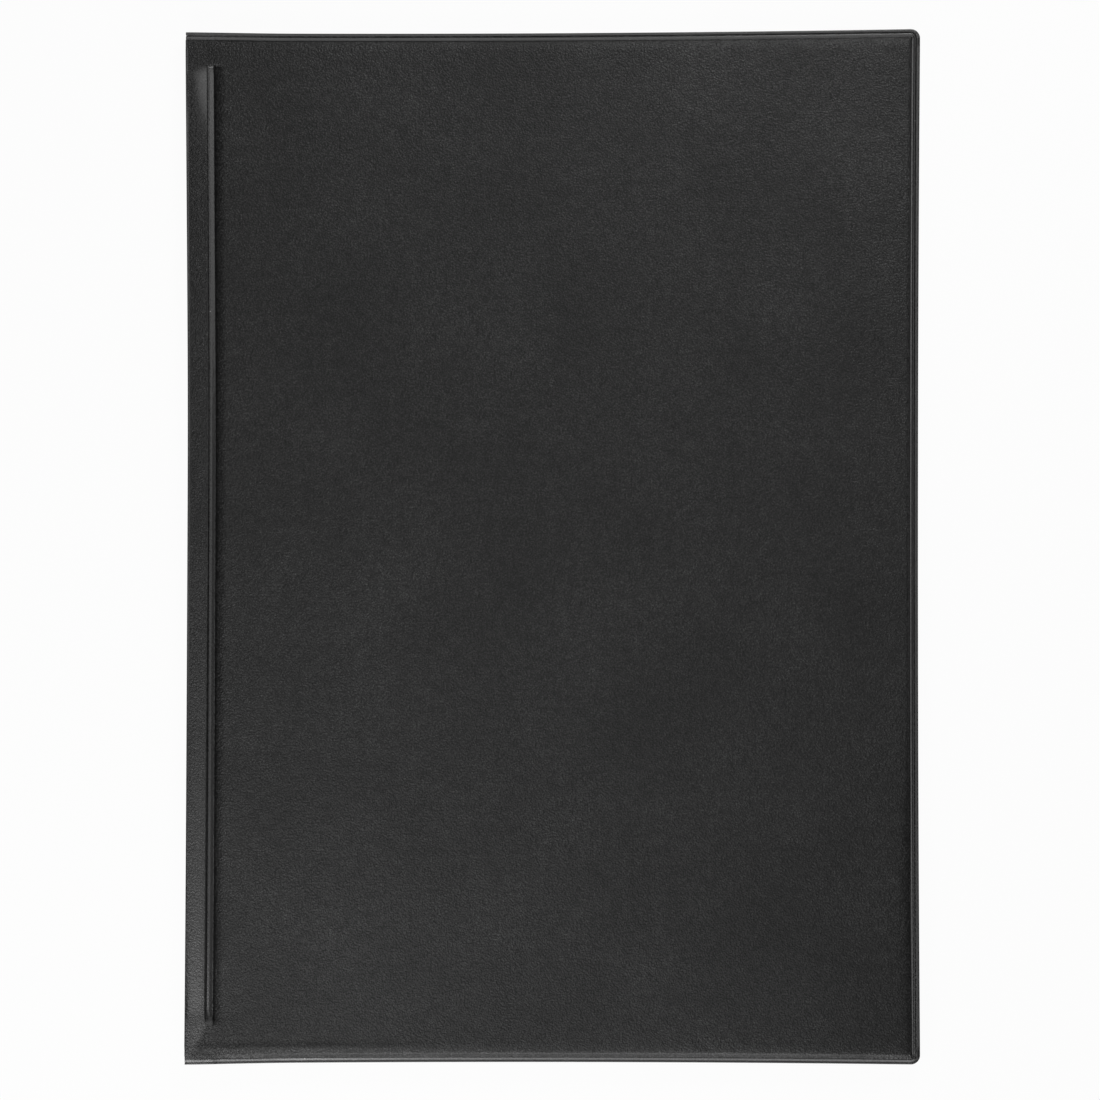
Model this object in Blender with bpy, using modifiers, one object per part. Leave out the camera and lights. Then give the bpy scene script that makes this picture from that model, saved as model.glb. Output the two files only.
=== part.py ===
"""Menu cover: a heat-sealed vinyl book cover with a board in each side, a soft folded spine and clear pockets.

Metres, +Z up. The cover lies closed on its back: spine at -X, fore-edge at +X, head at +Y, origin under its middle.
The vinyl sheets are laid out flat, as they are sealed, and then wrapped round the spine.
"""

import math
from collections import namedtuple

import bmesh
import bpy
from mathutils import Matrix, Vector

MM = 0.001

# Outline of the closed cover
COVER_WIDTH = 230.0 * MM
COVER_HEIGHT = 323.5 * MM
CORNER_RADIUS = 3.0 * MM

# Layers of each side, from the outside in, and the clearance between one layer and the next
SKIN = 0.45 * MM
BOARD = 1.9 * MM
LINING = 0.3 * MM
FILM = 0.2 * MM
SEAT = 0.15 * MM
COVER_GAP = 0.4 * MM

# Ribbed seal along the cut edge of the vinyl, with a plain land at each side of its ribs
SEAL_WIDTH = 2.3 * MM
SEAL_RIBS = 3
SEAL_LAND = 0.2 * MM
RIB_HEIGHT = 0.12 * MM

# Pressed edges of the boards, and the round left at the corners of their flat faces
BOARD_EDGE_RADIUS = 1.2 * MM
BOARD_FACE_CORNER = 0.5 * MM

# Hinge seal, pressed into the skin between the spine and the board
HINGE_SETBACK = 7.15 * MM
HINGE_WIDTH = 1.95 * MM
HINGE_RIBS = 2
HINGE_HEAD_GAP = 9.8 * MM
HINGE_FOOT_GAP = 11.8 * MM
HINGE_RUN_OUT = 2.2 * MM
LEG_RADIUS = 0.9 * MM

# Soft spine: how far its end seal lies below its face, and the tightest bend of the lining inside it
SPINE_SEAL_DEPTH = 0.9 * MM
LINING_FOLD_RADIUS = 0.5 * MM
FOLD_SPLIT = 0.3 * MM

# Clear pockets, sealed on three sides and open at the head, where they have a thumb notch
POCKET_INSET = 0.3 * MM
POCKET_ROOM = 0.25 * MM
POCKET_RAMP = 1.5 * MM
POCKET_HEAD_GAP = 14.0 * MM
NOTCH_RADIUS = 11.0 * MM

# Fineness of the curved surfaces, and the lean that keeps pressed walls from standing plumb
ARC_STEPS = 5
FOLD_STEPS = 4
NOTCH_STEPS = 32
WALL_LEAN = 0.06 * MM

# Depths below a cover's outer face
PANEL_DEPTH = SKIN + SEAT
SEAL_DEPTH = SEAT + BOARD
LINING_DEPTH = PANEL_DEPTH + BOARD + SEAT
POCKET_DEPTH = LINING_DEPTH + LINING + SEAT
THICKNESS = 2 * (POCKET_DEPTH + POCKET_ROOM + FILM) + COVER_GAP

# Shoulder of the skin over a board's edge
EDGE_RADIUS = min(BOARD_EDGE_RADIUS, BOARD - SKIN)
SHOULDER = EDGE_RADIUS + PANEL_DEPTH
BOARD_CORNER = EDGE_RADIUS + BOARD_FACE_CORNER
BOARD_INSET = SEAL_WIDTH + PANEL_DEPTH

# Wrap round the spine: two folds and the upright wall between them
FOLD_RADIUS = SPINE_SEAL_DEPTH + PANEL_DEPTH + LINING + LINING_FOLD_RADIUS
HALF_WALL = THICKNESS / 2 - FOLD_RADIUS
FOLD_END = HALF_WALL + FOLD_RADIUS * math.pi / 2
FOLD_MIDDLE = HALF_WALL + FOLD_RADIUS * math.pi / 4
SPINE_FACE = -COVER_WIDTH / 2

# Bend of the middle of each sheet at a fold
SKIN_BEND = FOLD_RADIUS - SKIN / 2
LINING_BEND = LINING_FOLD_RADIUS + LINING / 2

# A fold turns about a line that keeps the length of the skin's middle when it opens flat
AXIS_INSET = FOLD_RADIUS - math.pi / 4 * SKIN_BEND
BACK_AXIS = Vector((SPINE_FACE + AXIS_INSET, 0, AXIS_INSET))
FRONT_AXIS = Vector((SPINE_FACE + AXIS_INSET, 0, THICKNESS - AXIS_INSET))

# A grid line of a sheet: where it runs, its ring in the edge profile, and its part in the hinge seal
Line = namedtuple("Line", "place ring hinge")


def clear_scene():
    for obj in list(bpy.data.objects):
        bpy.data.objects.remove(obj, do_unlink=True)


def make_material(name, colour, roughness, alpha=1.0):
    material = bpy.data.materials.new(name)
    material.use_nodes = True
    shader = material.node_tree.nodes["Principled BSDF"]
    shader.inputs["Base Color"].default_value = (*colour, 1)
    shader.inputs["Roughness"].default_value = roughness
    shader.inputs["Metallic"].default_value = 0.0
    shader.inputs["Alpha"].default_value = alpha
    material.diffuse_color = (*colour, alpha)
    return material


def make_axis(name, place, parent, collection):
    axis = bpy.data.objects.new(name, None)
    axis.empty_display_size = FOLD_RADIUS
    axis.location = place - (parent.matrix_world.translation if parent else Vector())
    axis.parent = parent
    collection.objects.link(axis)
    bpy.context.view_layer.update()
    return axis


def hang(obj, axis):
    """Parents a piece to the axis it turns about, without moving it."""
    if axis:
        obj.parent = axis
        obj.matrix_parent_inverse = axis.matrix_world.inverted()


def add_object(name, data, material, collection, axis):
    obj = bpy.data.objects.new(name, data)
    data.materials.append(material)
    collection.objects.link(obj)
    hang(obj, axis)
    return obj


def eased(share):
    share = min(max(share, 0), 1)
    return share * share * (3 - 2 * share)


def reach_to_length(reach):
    """Length along the sheet, from the middle of the spine, of a point this far from the spine's face."""
    return FOLD_END + reach - FOLD_RADIUS


def wrap(length, height, depth):
    """Folds a point of the flat sheet round the spine. Positive lengths are on the front cover."""
    side = math.copysign(1, length)
    past_wall = abs(length) - HALF_WALL
    if past_wall <= 0:
        return Vector((SPINE_FACE + depth, height, THICKNESS / 2 + length))
    turn = min(past_wall / FOLD_RADIUS, math.pi / 2)
    radius = FOLD_RADIUS - depth
    beyond = max(abs(length) - FOLD_END, 0)
    x = SPINE_FACE + FOLD_RADIUS - radius * math.cos(turn) + beyond
    z = THICKNESS / 2 + side * (HALF_WALL + radius * math.sin(turn))
    return Vector((x, height, z))


def rib_profile(width, ribs):
    """(offset, rise) across a ribbed seal: a flat land at each side, and crests with valleys between."""
    count = 2 * ribs
    step = (width - 2 * SEAL_LAND) / count
    ridges = [(SEAL_LAND + step * i, RIB_HEIGHT * (i % 2)) for i in range(count + 1)]
    return [(0, 0), *ridges, (width, 0)]


def shoulder_profile(radius):
    """(offset, depth) from the foot of a pressed wall, up it and over the arc to the face."""
    arc = []
    for i in range(ARC_STEPS + 1):
        angle = math.pi / 2 * i / ARC_STEPS
        arc.append((WALL_LEAN + radius * (1 - math.cos(angle)), radius * (1 - math.sin(angle))))
    return arc


def edge_profile():
    """(offset, depth) from the cut edge, across the seal and over the shoulder to the panel's face."""
    seal = [(offset, SEAL_DEPTH - rise) for offset, rise in rib_profile(SEAL_WIDTH, SEAL_RIBS)]
    return seal + [(SEAL_WIDTH + offset, depth) for offset, depth in shoulder_profile(SHOULDER)]


def hinge_profile():
    """(reach, depth) across the hinge seal, from the spine's face of it to the board's."""
    start = HINGE_SETBACK
    end = HINGE_SETBACK + HINGE_WIDTH
    leg = [(start - offset, depth) for offset, depth in reversed(shoulder_profile(LEG_RADIUS))]
    strip = [(start + offset, SEAL_DEPTH - rise) for offset, rise in rib_profile(HINGE_WIDTH, HINGE_RIBS)]
    board = [(end + offset, depth) for offset, depth in shoulder_profile(SHOULDER)]
    return leg + strip + board


def seal_depth(length):
    """Depth of the end seal: full on the covers, easing to its lesser depth at the folds of the spine."""
    start = FOLD_END
    end = reach_to_length(HINGE_SETBACK - LEG_RADIUS - WALL_LEAN)
    share = eased((abs(length) - start) / (end - start))
    return SPINE_SEAL_DEPTH + (SEAL_DEPTH - SPINE_SEAL_DEPTH) * share


def rounded(from_fore, from_end, offset):
    """Moves a point of a square ring onto the ring's rounded corner. All are distances from the cut edges."""
    radius = CORNER_RADIUS - offset
    along = max(from_fore, from_end) - offset
    if radius <= 0 or along >= radius:
        return from_fore, from_end
    angle = math.pi / 4 * (1 - along / radius)
    far = CORNER_RADIUS - radius * math.sin(angle)
    near = CORNER_RADIUS - radius * math.cos(angle)
    return (far, near) if from_fore >= from_end else (near, far)


def cover_lines(profile, hinge, fold_start):
    """Lines that run from head to foot across one cover, from its fold to the fore-edge."""
    inside = len(profile) - 1
    fore_edge = reach_to_length(COVER_WIDTH)
    lines = []
    for i in range(FOLD_STEPS + 1):
        lines.append(Line(fold_start + (FOLD_END - fold_start) * i / FOLD_STEPS, inside, 0))
    leg_end = reach_to_length(HINGE_SETBACK - LEG_RADIUS - WALL_LEAN)
    for i in range(1, ARC_STEPS + 1):
        lines.append(Line(FOLD_END + (leg_end - FOLD_END) * i / ARC_STEPS, inside, 0))
    for reach, depth in hinge[1:]:
        lines.append(Line(reach_to_length(reach), inside, depth))
    for ring in range(inside, -1, -1):
        lines.append(Line(fore_edge - profile[ring][0], ring, 0))
    return lines


def spine_lines(inside, fold_start):
    """Lines along the spine's wall and the halves of its two folds."""
    half = [fold_start + (HALF_WALL - fold_start) * i / FOLD_STEPS for i in range(FOLD_STEPS + 1)]
    return [Line(length, inside, 0) for length in [-x for x in half] + half[::-1]]


def end_lines(profile, run_out):
    """Lines that run along the sheet, from its foot edge to its head edge, with the hinge seal's run-outs."""
    inside = len(profile) - 1
    foot = -COVER_HEIGHT / 2
    head = COVER_HEIGHT / 2
    lines = [Line(foot + profile[ring][0], ring, 0) for ring in range(inside + 1)]
    if run_out:
        shares = [i / ARC_STEPS for i in range(ARC_STEPS + 1)]
        lines += [Line(foot + HINGE_FOOT_GAP + HINGE_RUN_OUT * x, inside, eased(x)) for x in shares]
        lines += [Line(head - HINGE_HEAD_GAP - HINGE_RUN_OUT * x, inside, eased(x)) for x in shares[::-1]]
    lines += [Line(head - profile[ring][0], ring, 0) for ring in range(inside, -1, -1)]
    return lines


def folded_sheet(across, along, profile, depth_at, side):
    """Mesh of one face of a sheet: a grid on the given lines, with round corners, wrapped round the spine."""
    fore_edge = reach_to_length(COVER_WIDTH)
    mesh = bmesh.new()
    steps = (len(across) - 1, len(along) - 1)
    bmesh.ops.create_grid(mesh, x_segments=steps[0], y_segments=steps[1], size=1)
    for vert in mesh.verts:
        line = across[round((vert.co.x + 1) / 2 * steps[0])]
        end = along[round((vert.co.y + 1) / 2 * steps[1])]
        ring = min(line.ring, end.ring)
        from_fore = fore_edge - line.place
        from_end = COVER_HEIGHT / 2 - abs(end.place)
        from_fore, from_end = rounded(from_fore, from_end, profile[ring][0])
        length = fore_edge - from_fore
        height = math.copysign(COVER_HEIGHT / 2 - from_end, end.place)
        depth = depth_at(length, profile[ring][1], line.hinge * end.hinge)
        vert.co = wrap(side * length, height, depth)
    if side < 0:
        bmesh.ops.reverse_faces(mesh, faces=mesh.faces)
    return mesh


def sheet_object(name, mesh, thickness, material, collection, axis):
    """A sheet of even thickness, thickened inwards from its outer face."""
    data = bpy.data.meshes.new(name)
    mesh.to_mesh(data)
    mesh.free()
    data.shade_smooth()
    obj = add_object(name, data, material, collection, axis)
    thicken = obj.modifiers.new("thickness", "SOLIDIFY")
    thicken.thickness = thickness
    thicken.offset = -1
    thicken.use_even_offset = True
    thicken.use_quality_normals = True
    return obj


def make_skin(name, across, run_out, side, material, collection, axis):
    profile = edge_profile()

    def depth_at(length, edge_drop, hinge_drop):
        return max(edge_drop * seal_depth(length) / SEAL_DEPTH, hinge_drop)

    mesh = folded_sheet(across, end_lines(profile, run_out), profile, depth_at, side)
    return sheet_object(name, mesh, SKIN, material, collection, axis)


def lining_profile():
    """Rings of the lining: only those that its round corners need, all in its own face."""
    return [(CORNER_RADIUS * i / ARC_STEPS, 0) for i in range(ARC_STEPS + 1)]


def make_lining(name, across, side, material, collection, axis):
    profile = lining_profile()

    def depth_at(length, edge_drop, hinge_drop):
        return PANEL_DEPTH + seal_depth(length)

    mesh = folded_sheet(across, end_lines(profile, False), profile, depth_at, side)
    return sheet_object(name, mesh, LINING, material, collection, axis)


def cover_z(depth, side):
    """Height above the table of a point this deep in the front cover, side 1, or the back cover, side -1."""
    return THICKNESS - depth if side > 0 else depth


def make_board(name, side, material, collection, axis):
    """A greyboard panel with cut corners and a pressed round along its outer edges."""
    left = SPINE_FACE + HINGE_SETBACK + HINGE_WIDTH + PANEL_DEPTH
    right = COVER_WIDTH / 2 - BOARD_INSET
    size = Vector((right - left, COVER_HEIGHT - 2 * BOARD_INSET, BOARD))
    centre = Vector(((left + right) / 2, 0, cover_z(PANEL_DEPTH + BOARD / 2, side)))
    mesh = bmesh.new()
    bmesh.ops.create_cube(mesh, size=1, matrix=Matrix.Translation(centre) @ Matrix.Diagonal((*size, 1)))
    upright = [e for e in mesh.edges if abs(e.verts[0].co.z - e.verts[1].co.z) > BOARD / 2]
    bmesh.ops.bevel(mesh, geom=upright, offset=BOARD_CORNER, segments=ARC_STEPS, profile=0.5, affect="EDGES")
    outer = [e for e in mesh.edges if all(side * (v.co.z - centre.z) > 0 for v in e.verts)]
    bmesh.ops.bevel(mesh, geom=outer, offset=EDGE_RADIUS, segments=ARC_STEPS, profile=0.5, affect="EDGES")
    data = bpy.data.meshes.new(name)
    mesh.to_mesh(data)
    mesh.free()
    data.shade_smooth()
    data.set_sharp_from_angle(angle=math.radians(40))
    return add_object(name, data, material, collection, axis)


def pocket_profile():
    """(offset, rise) of the film's rings: a sealed border as wide as the corners, then a ramp to the pocket."""
    border = max(CORNER_RADIUS, SEAL_WIDTH)
    rings = [(POCKET_INSET + (border - POCKET_INSET) * i / ARC_STEPS, 0) for i in range(ARC_STEPS + 1)]
    return [*rings, (border + POCKET_RAMP, POCKET_ROOM)]


def make_notch_cutter(name, side, cutters):
    """A disc through the film at the middle of its open head."""
    middle = (SPINE_FACE + HINGE_SETBACK + COVER_WIDTH / 2) / 2
    head = COVER_HEIGHT / 2 - POCKET_HEAD_GAP
    place = Vector((middle, head, cover_z(POCKET_DEPTH + POCKET_ROOM, side)))
    mesh = bmesh.new()
    bmesh.ops.create_cone(
        mesh, cap_ends=True, segments=2 * NOTCH_STEPS, radius1=NOTCH_RADIUS, radius2=NOTCH_RADIUS, depth=NOTCH_RADIUS
    )
    data = bpy.data.meshes.new(name)
    mesh.to_mesh(data)
    mesh.free()
    obj = bpy.data.objects.new(name, data)
    obj.location = place
    obj.hide_render = True
    obj.display_type = "WIRE"
    cutters.objects.link(obj)
    return obj


def make_pocket(name, side, material, collection, cutters, axis):
    """A clear film over the lining, sealed at the hinge, foot and fore-edge, with a thumb notch at its open head."""
    profile = pocket_profile()
    inside = len(profile) - 1
    fore_edge = reach_to_length(COVER_WIDTH)
    hinge_ends = [HINGE_SETBACK, HINGE_SETBACK + HINGE_WIDTH]
    across = [Line(reach_to_length(reach), inside, 1) for reach in hinge_ends]
    across.append(Line(across[-1].place + POCKET_RAMP, inside, 0))
    across += [Line(fore_edge - profile[ring][0], ring, 0) for ring in range(inside, -1, -1)]
    along = [Line(profile[ring][0] - COVER_HEIGHT / 2, ring, 1) for ring in range(inside + 1)]
    along.append(Line(COVER_HEIGHT / 2 - POCKET_HEAD_GAP, inside, 1))

    def depth_at(length, rise, hinge):
        return POCKET_DEPTH + rise * (1 - hinge)

    mesh = folded_sheet(across, along, profile, depth_at, side)
    obj = sheet_object(name, mesh, FILM, material, collection, axis)
    notch = obj.modifiers.new("thumb_notch", "BOOLEAN")
    notch.operation = "DIFFERENCE"
    notch.object = make_notch_cutter(name + "_notch", side, cutters)
    return obj


def half_split(radius):
    """Half the gap between the sheets at a fold, as a length along the skin, for a sheet of this bend radius."""
    return FOLD_SPLIT / 2 * FOLD_RADIUS / radius


def make_cover(name, side, materials, collection, cutters, axis):
    """One side of the cover: skin, board, lining and pocket."""
    skin_lines = cover_lines(edge_profile(), hinge_profile(), FOLD_MIDDLE + half_split(SKIN_BEND))
    lining_lines = cover_lines(lining_profile(), [], FOLD_MIDDLE + half_split(LINING_BEND))
    make_skin(name + "_skin", skin_lines, True, side, materials["skin"], collection, axis)
    make_board(name + "_board", side, materials["board"], collection, axis)
    make_lining(name + "_lining", lining_lines, side, materials["lining"], collection, axis)
    make_pocket(name + "_pocket", side, materials["film"], collection, cutters, axis)


def make_spine(materials, collection, axis):
    skin_lines = spine_lines(len(edge_profile()) - 1, FOLD_MIDDLE - half_split(SKIN_BEND))
    lining_lines = spine_lines(len(lining_profile()) - 1, FOLD_MIDDLE - half_split(LINING_BEND))
    make_skin("spine_skin", skin_lines, False, 1, materials["skin"], collection, axis)
    make_lining("spine_lining", lining_lines, 1, materials["lining"], collection, axis)


def main():
    clear_scene()
    collection = bpy.data.collections.new("menu_cover")
    cutters = bpy.data.collections.new("cutters")
    bpy.context.scene.collection.children.link(collection)
    bpy.context.scene.collection.children.link(cutters)
    materials = {
        "skin": make_material("grained_vinyl", (0.022, 0.022, 0.022), 0.5),
        "lining": make_material("smooth_vinyl", (0.018, 0.018, 0.018), 0.42),
        "board": make_material("greyboard", (0.34, 0.32, 0.29), 0.9),
        "film": make_material("clear_film", (0.9, 0.92, 0.93), 0.08, alpha=0.25),
    }
    back_axis = make_axis("back_fold_axis", BACK_AXIS, None, collection)
    front_axis = make_axis("front_fold_axis", FRONT_AXIS, back_axis, collection)
    make_cover("back", -1, materials, collection, cutters, None)
    make_spine(materials, collection, back_axis)
    make_cover("front", 1, materials, collection, cutters, front_axis)


main()
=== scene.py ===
import math

import bpy
import numpy as np
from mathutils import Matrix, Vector, noise


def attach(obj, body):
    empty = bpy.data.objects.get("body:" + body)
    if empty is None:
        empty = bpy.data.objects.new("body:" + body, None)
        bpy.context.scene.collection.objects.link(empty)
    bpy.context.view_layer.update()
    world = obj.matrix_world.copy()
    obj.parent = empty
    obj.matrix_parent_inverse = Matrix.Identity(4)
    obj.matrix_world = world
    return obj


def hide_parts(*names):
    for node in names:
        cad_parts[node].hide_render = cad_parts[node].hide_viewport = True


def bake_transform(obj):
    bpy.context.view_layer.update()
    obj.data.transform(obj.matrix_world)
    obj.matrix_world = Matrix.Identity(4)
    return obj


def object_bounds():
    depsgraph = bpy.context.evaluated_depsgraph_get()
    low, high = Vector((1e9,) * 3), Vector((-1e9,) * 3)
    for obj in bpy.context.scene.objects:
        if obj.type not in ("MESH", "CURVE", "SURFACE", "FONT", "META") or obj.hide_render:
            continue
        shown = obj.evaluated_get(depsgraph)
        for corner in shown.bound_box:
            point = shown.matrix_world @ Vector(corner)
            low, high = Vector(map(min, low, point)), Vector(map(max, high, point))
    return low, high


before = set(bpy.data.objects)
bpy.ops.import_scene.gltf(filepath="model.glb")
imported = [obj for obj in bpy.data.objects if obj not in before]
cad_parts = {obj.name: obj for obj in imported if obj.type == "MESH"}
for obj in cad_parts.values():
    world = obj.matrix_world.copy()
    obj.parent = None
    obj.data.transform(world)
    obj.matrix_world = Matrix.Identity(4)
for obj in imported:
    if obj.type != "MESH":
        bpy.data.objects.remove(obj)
cadLow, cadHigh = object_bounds()
print("frame loaded", flush=True)

# Lengths are in millimetres; meshes are scaled to metres as they are made.
mm = 0.001

# The closed cover: its outline from the frame, and the sheets of each side from the outside in
cover = {
    "width": (cadHigh.x - cadLow.x) / mm,
    "height": (cadHigh.y - cadLow.y) / mm,
    "thick": (cadHigh.z - cadLow.z) / mm,
    "cornerRadius": 3.0,
    "skinBend": 0.45,  # outer bend of the skin's folds at the spine
    "liningBend": 1.3,
    "legSink": 0.15,  # how far the unboarded leg lies below the panel
    "skin": 0.45,
    "board": 1.7,
    "lining": 0.3,
    "film": 0.2,
    "touch": 0.03,  # gap left between sheets that are welded
    "split": 4.4,  # reach at which the covers' sheets meet those of the spine
    "sharpAngle": 55.0,  # degrees past which an edge keeps its crease
}
halfWidth = cover["width"] / 2
halfHeight = cover["height"] / 2
halfThick = cover["thick"] / 2

# Welds along the cut edges. A groove is its place from the edge, depth and half width, and the
# bead a line of painted highlight; beside the weld a wall rises to the board and rolls over onto it.
weld = {
    "depth": 2.05,
    "spineDepth": 0.30,
    "spineRun": 34.0,  # reach at which the end welds have their full depth
    "nose": 0.25,  # round of the cut edge
    "noseTurn": 0.96,
    "mitre": 1.2,
    "landSpacing": 0.09,
    "wallLines": 9,
    "rollLines": 8,
    "fore": {
        "width": 2.58,
        "grooves": ((1.22, 0.20, 0.10), (1.88, 0.11, 0.08)),
        "bead": (2.24, 0.20, 1.0),
        "fall": 0.0,
        "bare": 0.0,
        "wall": 0.65,
        "crease": 1.0,
        "roll": 1.2,
        "rollDrop": 0.18,
    },
    "head": {
        "width": 2.3,
        "grooves": ((1.10, 0.28, 0.17),),
        "bead": (1.55, 0.22, 0.5),
        "fall": 0.0,
        "bare": 0.0,
        "wall": 0.75,
        "crease": 1.0,
        "roll": 3.0,
        "rollDrop": 0.50,
    },
    "foot": {
        "width": 1.75,
        "grooves": ((0.58, 0.11, 0.13),),
        "bead": (1.06, 0.32, 2.0),
        "fall": 0.12,
        "bare": 0.3,
        "wall": 1.6,
        "crease": 1.0,
        "roll": 3.0,
        "rollDrop": 0.36,
    },
}

# Weld pressed between spine and board, which lets the cover swing
hinge = {
    "setback": 6.75,
    "width": 1.95,
    "depth": 1.75,
    "headGap": 9.8,
    "footGap": 11.8,
    "headRunOut": 1.1,
    "footRunOut": 3.6,
    "headRound": 0.10,  # round of the leg's edge beside the weld
    "footRound": 0.65,
    "roundStart": 0.4,  # share of the half height below which the edge gets rounder
    "lean": 0.06,
    "tilt": 0.20,  # fall of the strip's inner half toward the board
    "tiltStart": 0.85,
    "tiltRun": 0.75,
    "tiltSlope": 1.6,
    "wall": 0.9,
    "crease": 1.4,
    "roll": 3.0,
    "rollDrop": 0.80,
    "lines": 9,
}

# How far the vinyl has drawn in at the middle of its edges, and its corners out of square (x, y)
drawn = {
    "across": 0.68,
    "along": 0.69,
    "spine": 0.25,
    "spinePlace": 45.0,
    "spineRun": 60.0,
    "spineFade": 4,
    "corners": {
        "headFore": (0.0, 0.53),
        "footFore": (0.0, -0.13),
        "headSpine": (0.19, -0.78),
        "footSpine": (-0.22, 0.13),
    },
}

# Where each set of ripples starts in the noise
seeds = {
    "waves": 3.1,
    "fineWaves": 8.4,
    "pucker": 5.7,
    "finePucker": 1.3,
    "legPucker": 4.4,
    "lip": 9.1,
    "film": 2.2,
}


def eased(share):
    share = np.clip(share, 0, 1)
    return share * share * (3 - 2 * share)


def bell(value, place, half):
    return np.exp(-(((value - place) / half) ** 2))


def foldPlan(bend):
    # radius of a fold's zero-depth face, half the flat of the spine, and the length at the fold's end
    radius = bend + cover["legSink"]
    halfWall = halfThick - radius
    return radius, halfWall, halfWall + radius * math.pi / 2


def lengthOf(reach, bend=cover["skinBend"]):
    # length along the sheet, from mid-spine, of a point this far from the spine's face
    return foldPlan(bend)[2] + reach - bend


def reachOf(length, bend=cover["skinBend"]):
    return length - foldPlan(bend)[2] + bend


def wrapSheet(length, height, depth, side, bend=cover["skinBend"]):
    # folds points of the flat sheet round the spine; side 1 is the front, -1 the back
    radius, halfWall, foldEnd = foldPlan(bend)
    past = length - halfWall
    turn = np.clip(past / radius, 0, math.pi / 2)
    arm = radius - depth
    beyond = np.maximum(length - foldEnd, 0)
    x = np.where(past <= 0, depth, radius - arm * np.cos(turn) + beyond) - halfWidth - cover["legSink"]
    rise = np.where(past <= 0, length, halfWall + arm * np.sin(turn))
    return np.stack([x, height, halfThick + side * rise], axis=-1)


def drawIn(points):
    # the drawn-in edges and uneven corners of a heat-sealed cover
    x, y = points[..., 0], points[..., 1]
    across, along = x / halfWidth, y / halfHeight
    moveX = -drawn["across"] * across * (1 - along**2)
    moveY = -drawn["along"] * along * (1 - across**2)
    for name, (shiftX, shiftY) in drawn["corners"].items():
        weightX = (1 + across) / 2 if name.endswith("Fore") else (1 - across) / 2
        weightY = (1 + along) / 2 if name.startswith("head") else (1 - along) / 2
        moveX = moveX + shiftX * weightX * weightY
        moveY = moveY + shiftY * weightX * weightY
    hollow = drawn["spine"] * bell(y, drawn["spinePlace"], drawn["spineRun"])
    moveX = moveX + hollow * ((1 - across) / 2) ** drawn["spineFade"]
    moved = points.copy()
    moved[..., 0] += moveX
    moved[..., 1] += moveY
    return moved


def slopeDrop(over, plan, depth):
    # a shoulder beside a weld: a steep wall, then a long round top
    share = np.clip(over / plan["wall"], 0, 1)
    fall = depth - plan["rollDrop"]
    startSlope, endSlope = -plan["crease"] * fall, -2 * plan["rollDrop"] / plan["roll"] * plan["wall"]
    wallDrop = plan["rollDrop"] + fall * (2 * share**3 - 3 * share**2 + 1)
    wallDrop = wallDrop + startSlope * share * (1 - share) ** 2 - endSlope * share**2 * (1 - share)
    rollDrop = plan["rollDrop"] * np.clip(1 - (over - plan["wall"]) / plan["roll"], 0, 1) ** 2
    return np.where(over < plan["wall"], wallDrop, rollDrop)


def grooveDrop(offset, plan):
    return sum(depth * bell(offset, place, half) for place, depth, half in plan["grooves"])


def grooveShare(offset, plan):
    share = np.zeros_like(offset)
    for place, _, half in plan["grooves"]:
        share = np.maximum(share, bell(offset, place, half))
    return share


def weldDrop(offset, plan):
    # depth of the skin at an offset from the cut edge, to which the weld may fall a little
    flat = weld["depth"] + plan["fall"] * np.clip(1 - offset / plan["width"], 0, 1)
    nose = np.clip(1 - offset / weld["nose"], 0, 1)
    flat = flat + weld["nose"] * (1 - np.sqrt(1 - weld["noseTurn"] * nose**2))
    shoulder = slopeDrop(offset - plan["width"], plan, weld["depth"])
    return np.where(offset < plan["width"], flat, shoulder)


def weldLines(plan):
    # places across a weld and its shoulder where the mesh needs a line
    land = np.linspace(0, plan["width"], int(round(plan["width"] / weld["landSpacing"])) + 1)
    wall = plan["width"] + plan["wall"] * np.linspace(0, 1, weld["wallLines"])
    return np.concatenate([land, wall, wall[-1] + plan["roll"] * np.linspace(0, 1, weld["rollLines"])])


def hingeDrop(reach, height):
    # depth of the skin across the hinge weld: the leg's round edge, the strip, the board's shoulder
    up = height / halfHeight
    rounder = hinge["footRound"] - hinge["headRound"]
    legRound = hinge["headRound"] + rounder * eased(hinge["roundStart"] - up)
    inward = hinge["setback"] - reach
    arc = np.clip((inward - hinge["lean"]) / legRound, 0, 1)
    legDrop = cover["legSink"] + legRound * (1 - np.sqrt(1 - (1 - arc) ** 2))
    foot = np.clip(1 - inward / hinge["lean"], 0, 1)
    legDrop = legDrop + (hinge["depth"] - legDrop) * foot
    over = reach - hinge["setback"] - hinge["width"]
    tilt = hinge["tilt"] * eased((hinge["tiltStart"] - up) / hinge["tiltRun"])
    strip = hinge["depth"] + tilt * np.clip(1 + hinge["tiltSlope"] * over / hinge["width"], 0, 1)
    shoulder = slopeDrop(over, hinge, hinge["depth"] + tilt)
    return np.where(inward > 0, legDrop, np.where(over < 0, strip, shoulder))


def hingeLines():
    # places across the hinge weld where the mesh needs a line
    even = np.linspace(0, 1, hinge["lines"])
    legRun = hinge["lean"] + hinge["footRound"] * (1 - np.cos(even * math.pi / 2))
    legSide = hinge["setback"] - np.concatenate([[0, hinge["lean"] / 2], legRun])
    strip = hinge["setback"] + hinge["width"] * even
    wall = strip[-1] + hinge["wall"] * even
    return np.concatenate([legSide, strip, wall, wall[-1] + hinge["roll"] * even])


def inHinge(reach):
    # how far inside the strip of the hinge weld, and below 0 beside it
    return np.minimum(reach - hinge["setback"], hinge["setback"] + hinge["width"] - reach)


foreLength = lengthOf(cover["width"])


def sealDepth(reach):
    share = eased(reach / weld["spineRun"])
    return weld["spineDepth"] + (weld["depth"] - weld["spineDepth"]) * share


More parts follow.
